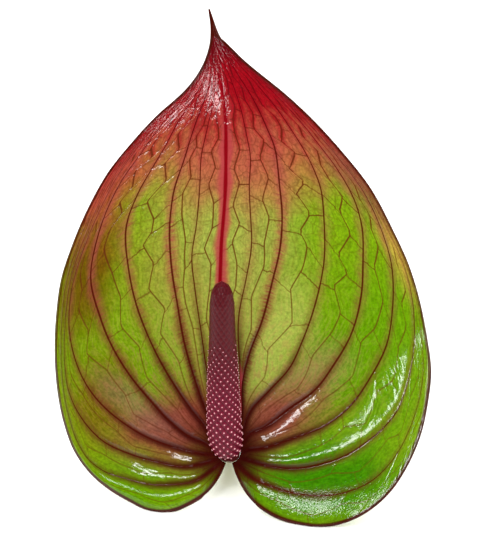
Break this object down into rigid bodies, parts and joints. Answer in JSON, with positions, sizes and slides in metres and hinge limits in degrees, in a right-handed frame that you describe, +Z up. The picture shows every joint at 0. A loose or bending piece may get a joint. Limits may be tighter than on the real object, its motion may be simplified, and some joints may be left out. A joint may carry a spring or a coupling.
{
  "type": "cut anthurium stem",
  "caption": "Cut anthurium flower lying down: a green heart-shaped spathe with a red tip and dark veins, its knobbly spadix and its cut stem.",
  "frame": {"origin": "on the surface that the flower lies on, under the middle of its box", "axes": "+Z up; the stem lies along +Y and the bloom faces -Y and up, leaning back 30 degrees from upright; +X to the right of its face"},
  "size_m": [0.1197, 0.2741, 0.1326],
  "materials": {
    "spathe_face": "satin",
    "spadix_florets": "satin",
    "stalk": "satin"
  },
  "bodies": {
    "root": {"spathe": "spathe_face", "spadix": "spadix_florets", "stem": "stalk"}
  },
  "joints": []
}
